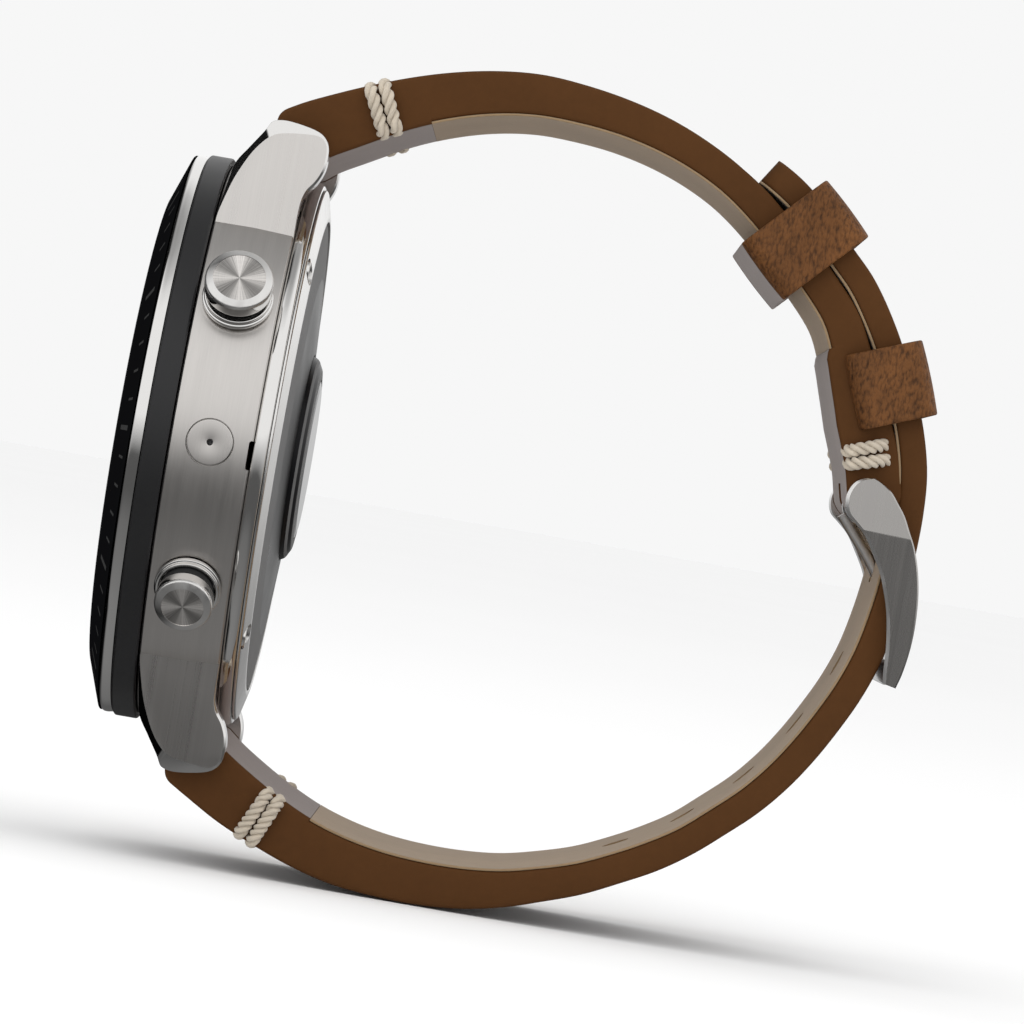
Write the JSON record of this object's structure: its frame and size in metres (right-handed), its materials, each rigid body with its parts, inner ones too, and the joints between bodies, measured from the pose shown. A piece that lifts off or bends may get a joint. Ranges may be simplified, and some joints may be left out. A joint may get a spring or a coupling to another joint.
{
  "type": "smartwatch",
  "caption": "Round steel smartwatch with two side pushers on a leather strap closed by a tang buckle, with a fixed and a sliding keeper.",
  "frame": {"origin": "centre of the flat sensor window on the back of the case, on its outer face", "axes": "+X towards 3 o'clock, the side with the pushers; +Y out of the case back, towards the wrist and round which the case is turned; +Z towards 12 o'clock"},
  "size_m": [0.0469, 0.065, 0.067],
  "materials": {
    "brushed_steel": "brushed",
    "polished_steel": "polished",
    "black_glass": "gloss, opaque black backing",
    "black_gloss": "gloss",
    "dark_band": "satin black coating",
    "grey_plastic": "semi-gloss",
    "seal_rubber": "matt",
    "circuit_board": "solder mask",
    "cell_foil": "satin",
    "copper": "bare copper",
    "brown_leather": "matt, pigmented",
    "grained_leather": "semi-gloss, grained",
    "beige_lining": "matt, smooth",
    "cream_rope": "twisted cord"
  },
  "bodies": {
    "case": {"mid_case": "brushed_steel", "mic_disc": "brushed_steel", "front_glass": "black_glass", "bezel_insert": "black_gloss", "bezel_ring": "polished_steel", "accent_band": "dark_band", "front_gasket": "seal_rubber", "display_panel": "black_gloss", "rear_band": "polished_steel", "back_gasket": "seal_rubber", "back_ring": "polished_steel", "back_cover": "grey_plastic", "sensor_bezel": "grey_plastic", "sensor_window": "black_glass", "sensor_board": "circuit_board", "charging_coil": "copper", "back_screw_1": "polished_steel", "back_screw_2": "polished_steel", "back_screw_3": "polished_steel", "back_screw_4": "polished_steel", "chassis": "grey_plastic", "main_board": "circuit_board", "battery": "cell_foil", "haptic_motor": "cell_foil", "speaker": "black_gloss", "microphone": "cell_foil", "key_flex": "copper", "pusher_2_collar": "polished_steel", "pusher_2_spring": "brushed_steel", "pusher_4_collar": "polished_steel", "pusher_4_spring": "brushed_steel", "bar_12_tube": "brushed_steel", "bar_6_tube": "brushed_steel", "bar_buckle_tube": "brushed_steel", "strap_12_leather": "brown_leather", "strap_12_lining": "beige_lining", "strap_6_leather": "brown_leather", "strap_6_lining": "beige_lining", "fixed_keeper": "grained_leather", "stitch_12_right": "cream_rope", "stitch_12_left": "cream_rope", "stitch_6_right": "cream_rope", "stitch_6_left": "cream_rope", "stitch_buckle_right": "cream_rope", "stitch_buckle_left": "cream_rope"},
    "pusher_2": {"pusher_2_cap": "polished_steel", "pusher_2_seal": "seal_rubber", "pusher_2_clip": "brushed_steel"},
    "pusher_4": {"pusher_4_cap": "polished_steel", "pusher_4_seal": "seal_rubber", "pusher_4_clip": "brushed_steel"},
    "free_keeper": {"free_keeper": "grained_leather"},
    "buckle_frame": {"buckle_frame": "brushed_steel"},
    "buckle_tongue": {"buckle_tongue": "polished_steel"},
    "bar_12_tip_right": {"bar_12_tip_right": "polished_steel"},
    "bar_12_tip_left": {"bar_12_tip_left": "polished_steel"},
    "bar_6_tip_right": {"bar_6_tip_right": "polished_steel"},
    "bar_6_tip_left": {"bar_6_tip_left": "polished_steel"},
    "bar_buckle_tip_right": {"bar_buckle_tip_right": "polished_steel"},
    "bar_buckle_tip_left": {"bar_buckle_tip_left": "polished_steel"}
  },
  "joints": [
    {"name": "pusher_2_press", "type": "slide", "parent": "case", "child": "pusher_2", "axis": [-0.866, 0, -0.5], "range_m": [0, 0.0007], "stiffness_N_per_m": 3000, "deforming": ["pusher_2_spring"]},
    {"name": "pusher_4_press", "type": "slide", "parent": "case", "child": "pusher_4", "axis": [-0.866, 0, 0.5], "range_m": [0, 0.0007], "stiffness_N_per_m": 3000, "deforming": ["pusher_4_spring"]},
    {"name": "free_keeper_slide", "type": "slide", "parent": "case", "child": "free_keeper", "axis": [0, -0.7254, 0.6884], "range_m": [-0.0015, 0.0015]},
    {"name": "buckle_swing", "type": "hinge", "parent": "case", "child": "buckle_frame", "pos_m": [0, 0.0451, 0.0041], "axis": [1, 0, 0], "range_deg": [0, 7]},
    {"name": "tongue_lift", "type": "hinge", "parent": "buckle_frame", "child": "buckle_tongue", "pos_m": [0, 0.0451, 0.0041], "axis": [1, 0, 0], "range_deg": [0, 7]},
    {"name": "bar_12_right_retract", "type": "slide", "parent": "case", "child": "bar_12_tip_right", "axis": [-1, 0, 0], "range_m": [0, 0.001], "stiffness_N_per_m": 500},
    {"name": "bar_12_left_retract", "type": "slide", "parent": "case", "child": "bar_12_tip_left", "axis": [1, 0, 0], "range_m": [0, 0.001], "stiffness_N_per_m": 500},
    {"name": "bar_6_right_retract", "type": "slide", "parent": "case", "child": "bar_6_tip_right", "axis": [-1, 0, 0], "range_m": [0, 0.001], "stiffness_N_per_m": 500},
    {"name": "bar_6_left_retract", "type": "slide", "parent": "case", "child": "bar_6_tip_left", "axis": [1, 0, 0], "range_m": [0, 0.001], "stiffness_N_per_m": 500},
    {"name": "bar_buckle_right_retract", "type": "slide", "parent": "case", "child": "bar_buckle_tip_right", "axis": [-1, 0, 0], "range_m": [0, 0.001], "stiffness_N_per_m": 500},
    {"name": "bar_buckle_left_retract", "type": "slide", "parent": "case", "child": "bar_buckle_tip_left", "axis": [1, 0, 0], "range_m": [0, 0.001], "stiffness_N_per_m": 500}
  ]
}
